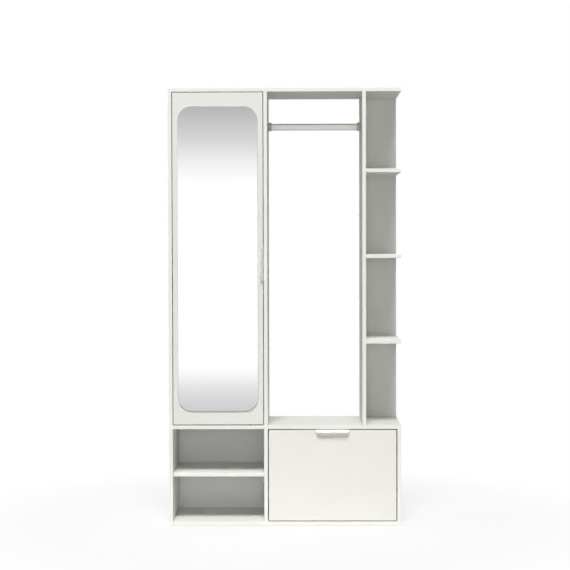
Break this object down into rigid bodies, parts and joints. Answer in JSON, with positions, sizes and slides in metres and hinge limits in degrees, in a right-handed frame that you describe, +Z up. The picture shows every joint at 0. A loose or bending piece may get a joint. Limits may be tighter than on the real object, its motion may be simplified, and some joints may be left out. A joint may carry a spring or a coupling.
{
  "type": "hall wardrobe",
  "caption": "Hall wardrobe with a full-length mirror door, an open coat bay with a hanging rail, open end shelves, a shoe niche and a tip-out shoe flap.",
  "frame": {"origin": "on the floor, under the middle of the object's bounding box", "axes": "+Z up, -Y towards the front, +X to the right as seen from the front"},
  "size_m": [1, 0.368, 1.884],
  "materials": {
    "board": "off-white melamine-faced chipboard, fine matt grain",
    "hardboard": "white lacquered hardboard, brown on the back",
    "rack_board": "white melamine-faced board",
    "beech": "fluted beech",
    "pull_metal": "satin white powder coat",
    "rail_metal": "satin silver-grey lacquered tube",
    "fitting_plastic": "satin light grey plastic",
    "pivot_plastic": "satin dark grey plastic",
    "glide_plastic": "matt grey plastic",
    "mirror": "silvered float glass with a polished bevel",
    "tape": "white foam tape",
    "hinge_steel": "nickel-plated steel",
    "screw_steel": "zinc-plated steel",
    "cam_zinc": "bare die-cast zinc"
  },
  "bodies": {
    "carcass": {"back_sheet_nails": "screw_steel", "base_board": "board", "cam_bolts": "screw_steel", "cam_discs": "cam_zinc", "door_bay_back_sheet": "hardboard", "door_shelf_1": "board", "door_shelf_2": "board", "door_shelf_3": "board", "door_shelf_4": "board", "door_stops": "pivot_plastic", "dowels": "beech", "end_back_board": "board", "end_back_screws": "screw_steel", "end_divider": "board", "end_shelf_high": "board", "end_shelf_low": "board", "end_shelf_mid": "board", "fitting_screws": "screw_steel", "flap_pivot_left": "pivot_plastic", "flap_pivot_right": "pivot_plastic", "flap_stop_studs": "hinge_steel", "floor_glides": "glide_plastic", "hanging_rail": "rail_metal", "hinge_arm_high": "hinge_steel", "hinge_arm_low": "hinge_steel", "hinge_arm_mid": "hinge_steel", "hinge_plates": "hinge_steel", "left_lower_side": "board", "left_upper_side": "board", "lower_back_sheet": "hardboard", "lower_divider": "board", "middle_board": "board", "niche_shelf": "board", "rail_socket_left": "fitting_plastic", "rail_socket_right": "fitting_plastic", "right_lower_side": "board", "shelf_pins": "hinge_steel", "top_board": "board", "upper_divider": "board", "wall_bracket_left": "hinge_steel", "wall_bracket_right": "hinge_steel"},
    "mirror_door": {"door_panel": "board", "mirror_glass": "mirror", "mirror_tape": "tape", "hinge_cup_low": "hinge_steel", "hinge_cup_mid": "hinge_steel", "hinge_cup_high": "hinge_steel", "hinge_pins": "hinge_steel", "door_screws": "screw_steel", "door_handle": "pull_metal"},
    "shoe_flap": {"flap_front": "board", "flap_handle": "pull_metal", "flap_screws": "screw_steel", "rack_side_left": "rack_board", "rack_side_right": "rack_board", "rack_floor": "rack_board", "rack_partition": "rack_board", "rack_back": "rack_board", "rack_dowels": "beech", "rack_screws": "screw_steel"}
  },
  "joints": [
    {"name": "door_swing", "type": "hinge", "parent": "carcass", "child": "mirror_door", "pos_m": [-0.468, -0.1585, 1.15], "axis": [0, 0, -1], "range_deg": [0, 100]},
    {"name": "flap_tilt", "type": "hinge", "parent": "carcass", "child": "shoe_flap", "pos_m": [0.205, -0.141, 0.122], "axis": [1, 0, 0], "range_deg": [0, 45]}
  ]
}
